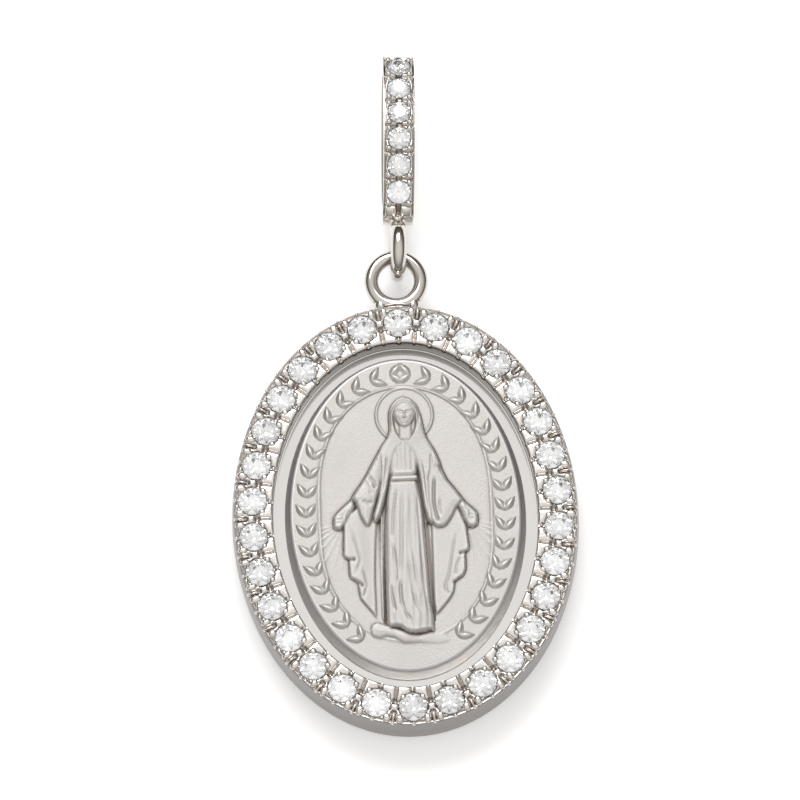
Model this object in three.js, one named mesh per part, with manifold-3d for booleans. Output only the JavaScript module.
// Oval religious medal pendant in white gold. An oval frame set with small stones carries a round eye on its
// top edge and a polished plate across its back. A struck medal with a standing robed figure stands on the
// plate, and a stone-set chain bail hangs in the eye by its loop.
// Millimetres: +X to the right, +Y towards the bail, +Z out of the medal's face, resting on Z = 0.

import * as THREE from "three";
import { mergeVertices } from "three/addons/utils/BufferGeometryUtils.js";
import Module from "manifold-3d";

const wasm = await Module();
wasm.setup();

// Frame: everything oval is an offset of the line through the middles of its stones
const ROW_HALF_WIDTH = 7.33;
const ROW_HALF_LENGTH = 9.5;
const SETTING_OUT = 0.8;
const SETTING_IN = 0.97;
const FRAME_DEPTH = 2.8;
const BARREL_BULGE = 0.19;
const WELL_DEPTH = 1.15;
const PLATE_THICKNESS = 0.8;
const BACK_RIM_IN = 0.55;
const OVAL_STEPS = 60;
const HOOP_STEPS = 40;

// Stones and their seats
const FRAME_STONE_COUNT = 30;
const FRAME_STONE_GAP = 0.42;
const BAIL_STONE = 1.1;
const BAIL_STONE_GAP = 0.24;
const BAIL_STONE_COUNT = 6;
const BAIL_ROW_SHIFT = 0.24;
const GIRDLE_DROP = 0.05;
const SEAT_CLEARANCE = 0.05;
const SEAT_SIDES = 12;
const FRAME_GRAIN = 0.15;
const BAIL_GRAIN = 0.13;
const GRAIN_INSET = 0.24;
const INNER_GRAIN_INSET = 0.36;
const BAIL_GRAIN_INSET = 0.2;

// Cut of a stone, as shares of its diameter
const TABLE_SHARE = 0.54;
const CROWN_SHARE = 0.15;
const PAVILION_SHARE = 0.42;
const GIRDLE_SHARE = 0.03;
const STAR_TIP_SHARE = 0.8;
const LOWER_TIP_SHARE = 0.25;

// Eye on the frame and loop of the bail
const EYE_HOLE_RADIUS = 0.86;
const EYE_WIRE = 0.7;
const EYE_HEIGHT = 1.9;
const EYE_FOOT_WIDTH = 1.9;
const EYE_FOOT_DEPTH = 0.56;
const LOOP_RADIUS = 1.14;
const LOOP_WIRE = 0.76;
const LINK_CLEARANCE = 0.06;

// Bail
const BAIL_HALF_LENGTH = 3.93;
const BAIL_HALF_DEPTH = 1.45;
const BAIL_WALL = 0.7;
const BAIL_WIDTH = 1.49;
const BAIL_REST_GAP = 0.05;
const SOLDER_OVERLAP = 0.19;
const BAIL_LEAN = THREE.MathUtils.degToRad(-2.2);
const BAIL_ROLL = THREE.MathUtils.degToRad(3);
const BAIL_SIDE_SHIFT = 0.12;

// Medal
const WELL_GAP = 0.57;
const MEDAL_GAP = 0.05;
const MEDAL_THICKNESS = 1.05;
const MEDAL_EDGE = 0.4;
const BORDER_WIDTH = 1.27;
const LINE_WIDTH = 0.1;
const LINE_RISE = 0.07;
const LEAF_LENGTH = 0.9;
const LEAF_WIDTH = 0.32;
const LEAF_RISE = 0.12;
const LEAF_PITCH = 1.02;
const LEAF_SPREAD = THREE.MathUtils.degToRad(34);
const BORDER_REST_HALF_WIDTH = 2.0;

// Figure on the medal
const FIGURE_HEIGHT = 11.65;
const FIGURE_HALF_SPAN = 3.5;
const FIGURE_RISE = 0.42;
const FOLD_SHARE = 0.12;
const EDGE_SHARE = 0.1;
const RELIEF_SINK = 0.06;
const NIMBUS_RADIUS = 1.37;
const NIMBUS_WIDTH = 0.09;
const NIMBUS_RISE = 0.06;

// Worked out from the sizes above
const FACE_HEIGHT = FRAME_DEPTH;
const FRAME_STONE = ovalLengths(0).at(-1) / FRAME_STONE_COUNT - FRAME_STONE_GAP;
const PLATE_TOP = FRAME_DEPTH - WELL_DEPTH;
const PLATE_BOTTOM = PLATE_TOP - PLATE_THICKNESS;
const MEDAL_FOOT = -SETTING_IN - WELL_GAP;
const MEDAL_BOTTOM = PLATE_TOP + MEDAL_GAP;
const MEDAL_TOP = MEDAL_BOTTOM + MEDAL_THICKNESS;
const FIELD_OUT = MEDAL_FOOT - MEDAL_EDGE;
const LINE_OUT = FIELD_OUT - BORDER_WIDTH;
const EYE_RING_RADIUS = EYE_HOLE_RADIUS + EYE_WIRE / 2;
const EYE_Y = ROW_HALF_LENGTH + SETTING_OUT + EYE_HOLE_RADIUS + EYE_WIRE;
const EYE_WIRE_Y = EYE_Y + EYE_RING_RADIUS;
const LOOP_INNER = LOOP_RADIUS - LOOP_WIRE / 2;
const LOOP_Y = EYE_WIRE_Y + LOOP_INNER - EYE_WIRE / 2 - LINK_CLEARANCE;
const BAIL_OUTER_LENGTH = BAIL_HALF_LENGTH + BAIL_WALL / 2;
const BAIL_OUTER_DEPTH = BAIL_HALF_DEPTH + BAIL_WALL / 2;
const BAIL_Y = LOOP_Y + LOOP_RADIUS + LOOP_WIRE / 2 - SOLDER_OVERLAP + BAIL_OUTER_LENGTH;
const BAIL_HEIGHT = BAIL_OUTER_DEPTH + BAIL_REST_GAP;

const polishedGold = new THREE.MeshStandardMaterial({ color: 0xd9d5d0, roughness: 0.18, metalness: 1 });
const mattGold = new THREE.MeshStandardMaterial({ color: 0xdedad4, roughness: 0.5, metalness: 1 });
const clearStone = new THREE.MeshStandardMaterial({ color: 0xeef1f4, roughness: 0.03, metalness: 0 });

const pendant = new THREE.Group();

// Turns closed three.js geometry into a solid whose faces point outwards
function solid(geometry) {
  const bare = geometry.clone();
  bare.deleteAttribute("normal");
  bare.deleteAttribute("uv");
  const merged = mergeVertices(bare, 1e-5);
  const vertProperties = new Float32Array(merged.attributes.position.array);
  const triVerts = new Uint32Array(merged.index.array);
  const body = new wasm.Manifold(new wasm.Mesh({ numProp: 3, vertProperties, triVerts }));
  if (body.volume() > 0) return body;
  return new wasm.Manifold(new wasm.Mesh({ numProp: 3, vertProperties, triVerts: triVerts.reverse() }));
}

function addMesh(parent, name, body, material) {
  const result = body.getMesh();
  const geometry = new THREE.BufferGeometry();
  geometry.setAttribute("position", new THREE.BufferAttribute(result.vertProperties, 3));
  geometry.setIndex(new THREE.BufferAttribute(result.triVerts, 1));
  const mesh = new THREE.Mesh(geometry, material);
  mesh.name = name;
  parent.add(mesh);
  return mesh;
}

// Skins rings with equal numbers of points. An open row of rings is capped at both ends, and a closed one
// runs back into its first ring.
function skin(rings, closed = false) {
  const perRing = rings[0].length;
  const points = rings.flat();
  const faces = [];
  const spans = closed ? rings.length : rings.length - 1;
  for (let ring = 0; ring < spans; ring += 1) {
    const here = ring * perRing;
    const ahead = ((ring + 1) % rings.length) * perRing;
    for (let step = 0; step < perRing; step += 1) {
      const next = (step + 1) % perRing;
      faces.push(here + step, here + next, ahead + next);
      faces.push(here + step, ahead + next, ahead + step);
    }
  }
  if (!closed) {
    const lastRing = spans * perRing;
    const firstMiddle = points.push(middleOf(rings[0])) - 1;
    const lastMiddle = points.push(middleOf(rings[spans])) - 1;
    for (let step = 0; step < perRing; step += 1) {
      const next = (step + 1) % perRing;
      faces.push(firstMiddle, next, step);
      faces.push(lastMiddle, lastRing + step, lastRing + next);
    }
  }
  const geometry = new THREE.BufferGeometry().setFromPoints(points);
  geometry.setIndex(faces);
  return geometry;
}

function middleOf(ring) {
  return ring.reduce((sum, point) => sum.add(point), new THREE.Vector3()).divideScalar(ring.length);
}

// Point on the oval that lies a distance outside the stone row; the turn runs clockwise from the top
function ovalPoint(turn, out, up) {
  const slopeX = ROW_HALF_LENGTH * Math.sin(turn);
  const slopeY = ROW_HALF_WIDTH * Math.cos(turn);
  const slope = Math.hypot(slopeX, slopeY);
  return new THREE.Vector3(
    ROW_HALF_WIDTH * Math.sin(turn) + (out * slopeX) / slope,
    ROW_HALF_LENGTH * Math.cos(turn) + (out * slopeY) / slope,
    up,
  );
}

// Body of oval rings, from rows of { out, up } that run outwards below and back inwards above
function ovalBody(rows) {
  const rings = rows.map(({ out, up }) => {
    const ring = [];
    for (let step = 0; step < OVAL_STEPS; step += 1) {
      ring.push(ovalPoint((-step / OVAL_STEPS) * 2 * Math.PI, out, up));
    }
    return ring;
  });
  return solid(skin(rings));
}

// Length of an oval from its top to each of many equal turns, with the whole oval's length last
function ovalLengths(out) {
  const samples = 2400;
  const lengths = [0];
  let before = ovalPoint(0, out, 0);
  for (let sample = 1; sample <= samples; sample += 1) {
    const here = ovalPoint((sample / samples) * 2 * Math.PI, out, 0);
    lengths.push(lengths[sample - 1] + here.distanceTo(before));
    before = here;
  }
  return lengths;
}

// Turns that part an oval into a number of stretches of equal length
function evenTurns(out, count) {
  const lengths = ovalLengths(out);
  const samples = lengths.length - 1;
  const turns = [];
  for (let index = 0, sample = 0; index < count; index += 1) {
    const wanted = (lengths[samples] * index) / count;
    while (lengths[sample + 1] < wanted) sample += 1;
    const share = (wanted - lengths[sample]) / (lengths[sample + 1] - lengths[sample]);
    turns.push(((sample + share) / samples) * 2 * Math.PI);
  }
  return turns;
}

// Turn of the oval's outward normal about +Z, from +Y, clockwise
function normalTurn(turn) {
  return Math.atan2(ROW_HALF_LENGTH * Math.sin(turn), ROW_HALF_WIDTH * Math.cos(turn));
}

// Round brilliant with its girdle in the plane Z = 0: a table, 8 stars, 8 kites, 16 upper halves, a girdle
// with 16 sides, 16 lower halves and 8 mains down to the culet
function brilliant(diameter) {
  const girdle = diameter / 2;
  const table = girdle * TABLE_SHARE;
  const crown = diameter * CROWN_SHARE;
  const pavilion = diameter * PAVILION_SHARE;
  const halfGirdle = (diameter * GIRDLE_SHARE) / 2;
  const sixteenth = Math.PI / 8;
  const starTip = girdle * STAR_TIP_SHARE;
  const lowerTip = girdle * LOWER_TIP_SHARE;
  const starHeight = (crown * (girdle - starTip * Math.cos(sixteenth))) / (girdle - table);
  const lowerDepth = pavilion * (1 - (lowerTip * Math.cos(sixteenth)) / girdle);
  const at = (radius, eighths, height) => new THREE.Vector3(
    radius * Math.cos(eighths * 2 * sixteenth),
    radius * Math.sin(eighths * 2 * sixteenth),
    height,
  );
  const tableMiddle = new THREE.Vector3(0, 0, halfGirdle + crown);
  const culet = new THREE.Vector3(0, 0, -halfGirdle - pavilion);
  const corners = [];
  const facet = (...points) => corners.push(...points);
  for (let main = 0; main < 8; main += 1) {
    const [before, here, after] = [main - 0.5, main, main + 0.5];
    const tableHere = at(table, here, halfGirdle + crown);
    const tableNext = at(table, main + 1, halfGirdle + crown);
    const starBefore = at(starTip, before, halfGirdle + starHeight);
    const starAfter = at(starTip, after, halfGirdle + starHeight);
    const rimHere = at(girdle, here, halfGirdle);
    const rimAfter = at(girdle, after, halfGirdle);
    const rimNext = at(girdle, main + 1, halfGirdle);
    const footHere = at(girdle, here, -halfGirdle);
    const footAfter = at(girdle, after, -halfGirdle);
    const footNext = at(girdle, main + 1, -halfGirdle);
    const lowBefore = at(lowerTip, before, -halfGirdle - lowerDepth);
    const lowAfter = at(lowerTip, after, -halfGirdle - lowerDepth);
    facet(tableMiddle, tableHere, tableNext);
    facet(tableHere, starAfter, tableNext);
    facet(tableHere, starBefore, rimHere);
    facet(tableHere, rimHere, starAfter);
    facet(starAfter, rimHere, rimAfter);
    facet(starAfter, rimAfter, rimNext);
    facet(rimHere, footHere, footAfter);
    facet(rimHere, footAfter, rimAfter);
    facet(rimAfter, footAfter, footNext);
    facet(rimAfter, footNext, rimNext);
    facet(footHere, lowAfter, footAfter);
    facet(footAfter, lowAfter, footNext);
    facet(footHere, lowBefore, culet);
    facet(footHere, culet, lowAfter);
  }
  const geometry = new THREE.BufferGeometry().setFromPoints(corners);
  geometry.setIndex(corners.map((point, index) => index));
  return geometry;
}

// Drilled seat under a stone whose girdle lies in the plane Z = 0, open at the top
function seatCutter(diameter) {
  const radius = (diameter / 2 + SEAT_CLEARANCE) / Math.cos(Math.PI / SEAT_SIDES);
  const shoulder = -(diameter * GIRDLE_SHARE) / 2 - SEAT_CLEARANCE;
  const tip = shoulder - (diameter * PAVILION_SHARE * radius) / (diameter / 2);
  const profile = [
    new THREE.Vector2(0, tip),
    new THREE.Vector2(radius, shoulder),
    new THREE.Vector2(radius, diameter),
    new THREE.Vector2(0, diameter),
  ];
  return new THREE.LatheGeometry(profile, SEAT_SIDES).rotateX(Math.PI / 2);
}

// Half-sunk round grain of metal beside the stones
function grain(radius) {
  return new THREE.IcosahedronGeometry(radius, 0);
}

// Barrel outside of the frame: "bulge" is a share of BARREL_BULGE, "up" a share of FRAME_DEPTH
const BARREL_ROWS = [
  { bulge: 0, up: 0 },
  { bulge: 0.75, up: 0.2 },
  { bulge: 1, up: 0.5 },
  { bulge: 0.75, up: 0.8 },
  { bulge: 0, up: 1 },
];

// Frame with its back plate, the eye soldered to its top edge, the drilled seats and the grains
function makeFrame(stonePlaces) {
  let frame = ovalBody([
    { out: -BACK_RIM_IN, up: PLATE_BOTTOM },
    { out: -BACK_RIM_IN, up: 0 },
    ...BARREL_ROWS.map((row) => ({
      out: SETTING_OUT + row.bulge * BARREL_BULGE, up: row.up * FRAME_DEPTH,
    })),
    { out: -SETTING_IN, up: FACE_HEIGHT },
    { out: -SETTING_IN, up: PLATE_TOP },
  ]);
  const eye = new THREE.TorusGeometry(EYE_RING_RADIUS, EYE_WIRE / 2, 10, 20)
    .translate(0, EYE_Y, EYE_HEIGHT);
  const footLength = EYE_WIRE + SETTING_OUT;
  const foot = new THREE.BoxGeometry(EYE_FOOT_WIDTH, footLength, EYE_FOOT_DEPTH)
    .translate(0, ROW_HALF_LENGTH + footLength / 2, EYE_HEIGHT);
  const eyeHole = new THREE.CylinderGeometry(EYE_HOLE_RADIUS, EYE_HOLE_RADIUS, 2 * EYE_WIRE, 20)
    .rotateX(Math.PI / 2)
    .translate(0, EYE_Y, EYE_HEIGHT);
  frame = frame.add(solid(foot).subtract(solid(eyeHole))).add(solid(eye));
  const seat = seatCutter(FRAME_STONE);
  stonePlaces.forEach((place, index) => {
    frame = frame.subtract(solid(seat.clone().applyMatrix4(place.matrix)));
    const next = stonePlaces[(index + 1) % stonePlaces.length];
    const between = index + 1 < stonePlaces.length
      ? (place.turn + next.turn) / 2
      : (place.turn + 2 * Math.PI) / 2;
    for (const out of [SETTING_OUT - GRAIN_INSET, -SETTING_IN + INNER_GRAIN_INSET]) {
      const point = ovalPoint(between, out, FACE_HEIGHT);
      frame = frame.add(solid(grain(FRAME_GRAIN).translate(point.x, point.y, point.z)));
    }
  });
  return frame;
}

function frameStonePlaces() {
  return evenTurns(0, FRAME_STONE_COUNT).map((turn) => {
    const matrix = new THREE.Matrix4().makeRotationZ(-normalTurn(turn));
    matrix.setPosition(ovalPoint(turn, 0, FACE_HEIGHT - GIRDLE_DROP));
    return { turn, matrix };
  });
}

const framePlaces = frameStonePlaces();
addMesh(pendant, "halo_frame", makeFrame(framePlaces), polishedGold);
framePlaces.forEach((place, index) => {
  const name = `halo_stone_${String(index + 1).padStart(2, "0")}`;
  addMesh(pendant, name, solid(brilliant(FRAME_STONE).applyMatrix4(place.matrix)), clearStone);
});

// Edge of the medal: "in" is a share of MEDAL_EDGE, "up" a share of MEDAL_THICKNESS
const EDGE_ROWS = [
  { in: 0.3, up: 0 },
  { in: 0, up: 0.1 },
  { in: 0.1, up: 0.5 },
  { in: 0.45, up: 0.88 },
  { in: 1, up: 1 },
];

// Tables of the figure. "at" runs from its hem at 0 to the crown of its veil at 1, "left" and "right" are
// shares of FIGURE_HALF_SPAN to either side of its middle, and "rise" is a share of FIGURE_RISE.
const CAPE_ROWS = [
  { at: 0.57, left: -0.74, right: 0.82, rise: 0.45 },
  { at: 0.605, left: -0.67, right: 0.7, rise: 0.6 },
  { at: 0.68, left: -0.51, right: 0.52, rise: 0.62 },
  { at: 0.76, left: -0.37, right: 0.43, rise: 0.62 },
  { at: 0.81, left: -0.26, right: 0.36, rise: 0.66 },
  { at: 0.855, left: -0.19, right: 0.3, rise: 0.7 },
  { at: 0.93, left: -0.19, right: 0.24, rise: 0.76 },
  { at: 0.98, left: -0.13, right: 0.18, rise: 0.66 },
  { at: 1, left: -0.05, right: 0.1, rise: 0.3 },
];
const LEFT_SLEEVE_ROWS = [
  { at: 0.455, left: -0.56, right: -0.5, rise: 0.35 },
  { at: 0.48, left: -0.6, right: -0.42, rise: 0.66 },
  { at: 0.545, left: -0.67, right: -0.33, rise: 0.8 },
  { at: 0.6, left: -0.66, right: -0.3, rise: 0.8 },
  { at: 0.68, left: -0.49, right: -0.26, rise: 0.72 },
];
const RIGHT_SLEEVE_ROWS = [
  { at: 0.445, left: 0.4, right: 0.48, rise: 0.35 },
  { at: 0.47, left: 0.32, right: 0.56, rise: 0.66 },
  { at: 0.53, left: 0.26, right: 0.68, rise: 0.8 },
  { at: 0.59, left: 0.26, right: 0.73, rise: 0.8 },
  { at: 0.68, left: 0.26, right: 0.5, rise: 0.72 },
];
const LEFT_MANTLE_ROWS = [
  { at: 0.07, left: -0.48, right: -0.3, rise: 0.2 },
  { at: 0.14, left: -0.67, right: -0.3, rise: 0.34 },
  { at: 0.21, left: -0.7, right: -0.3, rise: 0.4 },
  { at: 0.25, left: -0.8, right: -0.3, rise: 0.42 },
  { at: 0.325, left: -0.76, right: -0.28, rise: 0.42 },
  { at: 0.35, left: -0.86, right: -0.28, rise: 0.42 },
  { at: 0.45, left: -0.86, right: -0.26, rise: 0.42 },
  { at: 0.55, left: -0.72, right: -0.24, rise: 0.36 },
];
const RIGHT_MANTLE_ROWS = [
  { at: 0.1, left: 0.3, right: 0.38, rise: 0.2 },
  { at: 0.16, left: 0.3, right: 0.57, rise: 0.34 },
  { at: 0.21, left: 0.3, right: 0.63, rise: 0.4 },
  { at: 0.25, left: 0.3, right: 0.79, rise: 0.42 },
  { at: 0.335, left: 0.28, right: 0.74, rise: 0.42 },
  { at: 0.355, left: 0.28, right: 0.83, rise: 0.42 },
  { at: 0.45, left: 0.26, right: 0.83, rise: 0.42 },
  { at: 0.55, left: 0.24, right: 0.74, rise: 0.36 },
];
const TUNIC_ROWS = [
  { at: 0, left: -0.2, right: 0.34, rise: 0.55 },
  { at: 0.03, left: -0.3, right: 0.36, rise: 0.82 },
  { at: 0.15, left: -0.31, right: 0.35, rise: 0.86 },
  { at: 0.32, left: -0.31, right: 0.31, rise: 0.92 },
  { at: 0.52, left: -0.27, right: 0.25, rise: 0.95 },
  { at: 0.61, left: -0.22, right: 0.21, rise: 0.86 },
  { at: 0.66, left: -0.18, right: 0.19, rise: 0.86 },
  { at: 0.76, left: -0.2, right: 0.25, rise: 0.95 },
  { at: 0.81, left: -0.12, right: 0.17, rise: 0.82 },
  { at: 0.85, left: -0.06, right: 0.12, rise: 0.8 },
];
const BELT_ROWS = [
  { at: 0.634, left: -0.19, right: 0.19, rise: 0.6 },
  { at: 0.638, left: -0.2, right: 0.2, rise: 0.98 },
  { at: 0.655, left: -0.2, right: 0.2, rise: 0.98 },
  { at: 0.66, left: -0.19, right: 0.19, rise: 0.6 },
];
const LEFT_HAND_ROWS = [
  { at: 0.453, left: -0.97, right: -0.88, rise: 0.35 },
  { at: 0.475, left: -0.98, right: -0.84, rise: 0.55 },
  { at: 0.51, left: -0.99, right: -0.77, rise: 0.62 },
  { at: 0.54, left: -0.86, right: -0.68, rise: 0.62 },
  { at: 0.57, left: -0.76, right: -0.62, rise: 0.6 },
];
const RIGHT_HAND_ROWS = [
  { at: 0.44, left: 0.86, right: 0.95, rise: 0.35 },
  { at: 0.462, left: 0.78, right: 0.98, rise: 0.55 },
  { at: 0.5, left: 0.7, right: 1, rise: 0.62 },
  { at: 0.53, left: 0.68, right: 0.9, rise: 0.62 },
  { at: 0.565, left: 0.66, right: 0.8, rise: 0.6 },
];
const GROUND_ROWS = [
  { at: -0.03, left: -0.62, right: 0.62, rise: 0.08 },
  { at: -0.01, left: -0.6, right: 0.6, rise: 0.2 },
  { at: 0.01, left: -0.48, right: 0.4, rise: 0.26 },
  { at: 0.025, left: -0.46, right: 0.3, rise: 0.14 },
];

// Head on the drawing books' canon: an eighth of the figure's height, two thirds as wide, with the veil's
// cloth over its crown. The nose ends three sevenths of the way down from its middle to the chin.
const HEAD_HALF_HEIGHT = 1 / 16;
const VEIL_CLOTH = 0.0145;
const HEAD = {
  across: 0.035,
  at: 1 - VEIL_CLOTH - HEAD_HALF_HEIGHT,
  halfWidth: (2 / 3) * HEAD_HALF_HEIGHT * FIGURE_HEIGHT / FIGURE_HALF_SPAN,
  halfHeight: HEAD_HALF_HEIGHT,
  rise: 1.02,
};
const NOSE_FOOT = HEAD.at - (3 / 7) * HEAD_HALF_HEIGHT;
const NOSE_ROWS = [
  { at: NOSE_FOOT, left: 0.02, right: 0.055, rise: 1.06 },
  { at: NOSE_FOOT + 0.005, left: 0.01, right: 0.065, rise: 1.12 },
  { at: HEAD.at + HEAD_HALF_HEIGHT / 7, left: 0.025, right: 0.05, rise: 1.04 },
];

const figureFoot = -FIGURE_HEIGHT / 2;

// Raised body over the medal's face, crowned across, with shallow folds that run down it
function reliefBody(rows, columns, folds = 0) {
  const rings = rows.map(({ at, left, right, rise }) => {
    const y = figureFoot + at * FIGURE_HEIGHT;
    const ring = [];
    for (let column = 0; column <= columns; column += 1) {
      const share = column / columns;
      const crown = 1 - Math.abs(2 * share - 1) ** 3;
      const fold = folds > 0 ? FOLD_SHARE * (Math.cos(2 * Math.PI * folds * share) - 1) : 0;
      const height = Math.max(EDGE_SHARE, crown * (1 + fold)) * rise * FIGURE_RISE;
      ring.push(new THREE.Vector3(
        THREE.MathUtils.lerp(left, right, share) * FIGURE_HALF_SPAN,
        y,
        MEDAL_TOP + height,
      ));
    }
    ring.push(new THREE.Vector3(right * FIGURE_HALF_SPAN, y, MEDAL_TOP - RELIEF_SINK));
    ring.push(new THREE.Vector3(left * FIGURE_HALF_SPAN, y, MEDAL_TOP - RELIEF_SINK));
    return ring;
  });
  return solid(skin(rings));
}

// Raised line that runs round on the medal's face; pointAt gives its place for a turn and a side step
function raisedLine(pointAt, width, rise, steps) {
  const rings = [];
  for (let step = 0; step < steps; step += 1) {
    const turn = (step / steps) * 2 * Math.PI;
    rings.push([
      pointAt(turn, width / 2, MEDAL_TOP - RELIEF_SINK),
      pointAt(turn, width * 0.3, MEDAL_TOP + rise),
      pointAt(turn, -width * 0.3, MEDAL_TOP + rise),
      pointAt(turn, -width / 2, MEDAL_TOP - RELIEF_SINK),
    ]);
  }
  return solid(skin(rings, true));
}

// Pointed leaf with a ridge along its middle, laid on the face and turned to its heading
function leaf(point, heading) {
  const tip = LEAF_LENGTH / 2;
  const side = LEAF_WIDTH / 2;
  const low = -RELIEF_SINK;
  const edge = [[-tip, 0], [-tip * 0.2, -side], [tip, 0], [-tip * 0.2, side]]
    .map(([x, y]) => new THREE.Vector3(x, y, low));
  const ridge = [[-tip * 0.8, 0], [-tip * 0.2, -side * 0.3], [tip * 0.7, 0], [-tip * 0.2, side * 0.3]]
    .map(([x, y]) => new THREE.Vector3(x, y, LEAF_RISE));
  return solid(skin([edge, ridge]).rotateZ(heading).translate(point.x, point.y, MEDAL_TOP));
}

// Garland of leaf pairs that climbs both sides of the border from its plain foot to the top
function makeGarland() {
  const middleOut = (FIELD_OUT + LINE_OUT) / 2;
  const leafPairs = Math.round(ovalLengths(middleOut).at(-1) / LEAF_PITCH);
  const leaves = [];
  for (const turn of evenTurns(middleOut, leafPairs)) {
    const point = ovalPoint(turn, middleOut, 0);
    const onFoot = point.y < 0 && Math.abs(point.x) < BORDER_REST_HALF_WIDTH;
    const onTop = point.y > 0 && Math.abs(point.x) < LEAF_PITCH / 2;
    if (onFoot || onTop) continue;
    const side = Math.sign(point.x);
    const along = Math.PI / 2 - normalTurn(turn) + side * (Math.PI / 2);
    for (const spread of [-1, 1]) {
      const heading = along + spread * LEAF_SPREAD;
      const reach = LEAF_LENGTH * 0.42;
      leaves.push(leaf(new THREE.Vector3(
        point.x + reach * Math.cos(heading),
        point.y + reach * Math.sin(heading),
        0,
      ), heading));
    }
  }
  return leaves;
}

function makeMedal() {
  let medal = ovalBody(EDGE_ROWS.map((row) => ({
    out: MEDAL_FOOT - row.in * MEDAL_EDGE,
    up: MEDAL_BOTTOM + row.up * MEDAL_THICKNESS,
  })));
  const ovalLine = raisedLine(
    (turn, side, up) => ovalPoint(turn, LINE_OUT + side, up), LINE_WIDTH, LINE_RISE, OVAL_STEPS,
  );
  const head = new THREE.SphereGeometry(1, 12, 8)
    .scale(HEAD.halfWidth * FIGURE_HALF_SPAN, HEAD.halfHeight * FIGURE_HEIGHT, HEAD.rise * FIGURE_RISE)
    .translate(HEAD.across * FIGURE_HALF_SPAN, figureFoot + HEAD.at * FIGURE_HEIGHT, MEDAL_TOP);
  const nimbus = raisedLine((turn, side, up) => new THREE.Vector3(
    HEAD.across * FIGURE_HALF_SPAN + (NIMBUS_RADIUS + side) * Math.sin(turn),
    figureFoot + HEAD.at * FIGURE_HEIGHT + (NIMBUS_RADIUS + side) * Math.cos(turn),
    up,
  ), NIMBUS_WIDTH, NIMBUS_RISE, 32);
  const raised = [
    ovalLine,
    nimbus,
    reliefBody(GROUND_ROWS, 6),
    reliefBody(LEFT_MANTLE_ROWS, 6, 2),
    reliefBody(RIGHT_MANTLE_ROWS, 6, 2),
    reliefBody(LEFT_HAND_ROWS, 4),
    reliefBody(RIGHT_HAND_ROWS, 4),
    reliefBody(CAPE_ROWS, 10),
    reliefBody(LEFT_SLEEVE_ROWS, 6),
    reliefBody(RIGHT_SLEEVE_ROWS, 6),
    reliefBody(TUNIC_ROWS, 12, 4),
    reliefBody(BELT_ROWS, 4),
    solid(head),
    reliefBody(NOSE_ROWS, 2),
    ...makeGarland(),
  ];
  for (const piece of raised) medal = medal.add(piece);
  return medal;
}

addMesh(pendant, "medal", makeMedal(), mattGold);

// The bail is made upright on its own middle, then leans and rolls about the wire of the eye
const bailGroup = new THREE.Group();
bailGroup.position.set(BAIL_SIDE_SHIFT, EYE_WIRE_Y, EYE_HEIGHT);
bailGroup.rotation.set(0, BAIL_ROLL, BAIL_LEAN, "ZYX");
pendant.add(bailGroup);

// Places on the outer face of the hoop: the turn is 0 at the middle of its front and grows to the top
function hoopPlace(turn, drop) {
  const y = BAIL_OUTER_LENGTH * Math.sin(turn);
  const z = BAIL_OUTER_DEPTH * Math.cos(turn);
  const lean = Math.atan2(y / BAIL_OUTER_LENGTH ** 2, z / BAIL_OUTER_DEPTH ** 2);
  const matrix = new THREE.Matrix4().makeRotationX(-lean);
  matrix.setPosition(
    0,
    y - drop * Math.sin(lean) + BAIL_Y - EYE_WIRE_Y,
    z - drop * Math.cos(lean) + BAIL_HEIGHT - EYE_HEIGHT,
  );
  return matrix;
}

// Turns on the hoop's outer face at equal steps of its length, about the middle of the stone row
function hoopTurns(count, pitch) {
  const step = Math.PI / 1600;
  const turns = [];
  for (let index = 0; index < count; index += 1) {
    const wanted = (index - (count - 1) / 2) * pitch + BAIL_ROW_SHIFT;
    const way = Math.sign(wanted);
    let turn = 0;
    for (let gone = 0; gone < Math.abs(wanted); turn += way * step) {
      gone += step * Math.hypot(BAIL_OUTER_LENGTH * Math.cos(turn), BAIL_OUTER_DEPTH * Math.sin(turn));
    }
    turns.push(turn);
  }
  return turns;
}

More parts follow.
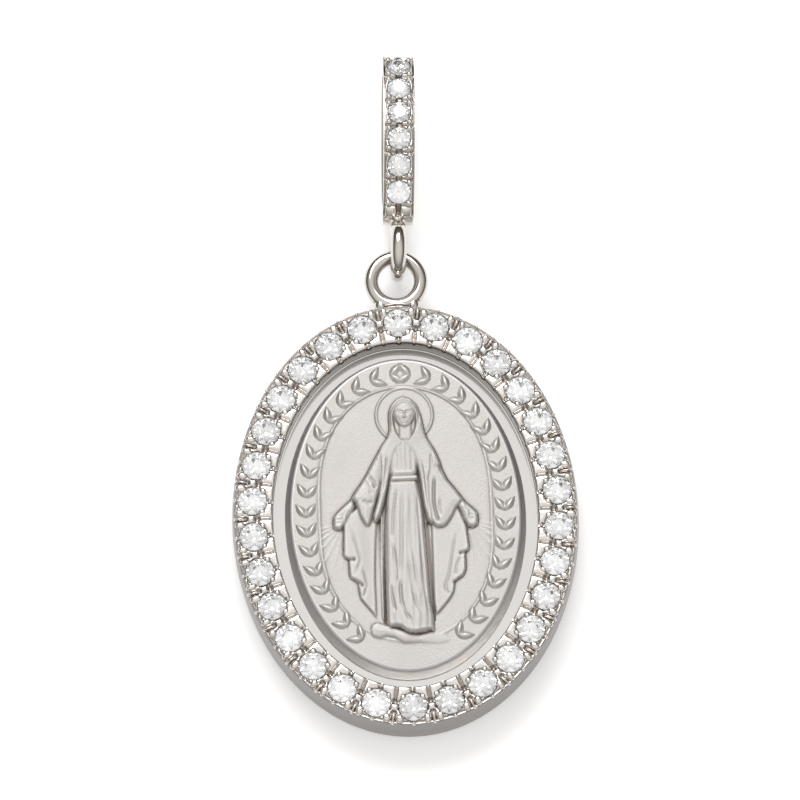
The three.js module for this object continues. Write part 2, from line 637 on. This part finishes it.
function makeBail(stoneTurns) {
  const rings = [];
  for (let step = 0; step < HOOP_STEPS; step += 1) {
    const turn = (step / HOOP_STEPS) * 2 * Math.PI;
    const [inner, outer] = [-BAIL_WALL, 0].map((grow) => [
      (BAIL_OUTER_LENGTH + grow) * Math.sin(turn) + BAIL_Y - EYE_WIRE_Y,
      (BAIL_OUTER_DEPTH + grow) * Math.cos(turn) + BAIL_HEIGHT - EYE_HEIGHT,
    ]);
    rings.push([
      new THREE.Vector3(-BAIL_WIDTH / 2, ...inner),
      new THREE.Vector3(BAIL_WIDTH / 2, ...inner),
      new THREE.Vector3(BAIL_WIDTH / 2, ...outer),
      new THREE.Vector3(-BAIL_WIDTH / 2, ...outer),
    ]);
  }
  const loop = new THREE.TorusGeometry(LOOP_RADIUS, LOOP_WIRE / 2, 10, 20).rotateY(Math.PI / 2)
    .translate(0, LOOP_Y - EYE_WIRE_Y, 0);
  let bail = solid(skin(rings, true)).add(solid(loop));
  const seat = seatCutter(BAIL_STONE);
  for (const turn of stoneTurns) {
    bail = bail.subtract(solid(seat.clone().applyMatrix4(hoopPlace(turn, GIRDLE_DROP))));
  }
  const grainTurns = hoopTurns(stoneTurns.length + 1, BAIL_STONE + BAIL_STONE_GAP);
  for (const turn of grainTurns) {
    for (const side of [-1, 1]) {
      const beside = new THREE.Matrix4().makeTranslation(side * (BAIL_WIDTH / 2 - BAIL_GRAIN_INSET), 0, 0);
      const place = hoopPlace(turn, 0).multiply(beside);
      bail = bail.add(solid(grain(BAIL_GRAIN).applyMatrix4(place)));
    }
  }
  return bail;
}

const bailTurns = hoopTurns(BAIL_STONE_COUNT, BAIL_STONE + BAIL_STONE_GAP);
addMesh(bailGroup, "bail", makeBail(bailTurns), polishedGold);
bailTurns.forEach((turn, index) => {
  const stone = solid(brilliant(BAIL_STONE).applyMatrix4(hoopPlace(turn, GIRDLE_DROP)));
  addMesh(bailGroup, `bail_stone_${index + 1}`, stone, clearStone);
});

// The origin lies under the middle of the whole pendant, on the plane that it rests on
pendant.updateMatrixWorld(true);
const reach = new THREE.Box3().setFromObject(pendant);
pendant.position.set(-(reach.min.x + reach.max.x) / 2, -(reach.min.y + reach.max.y) / 2, -reach.min.z);

export default pendant;
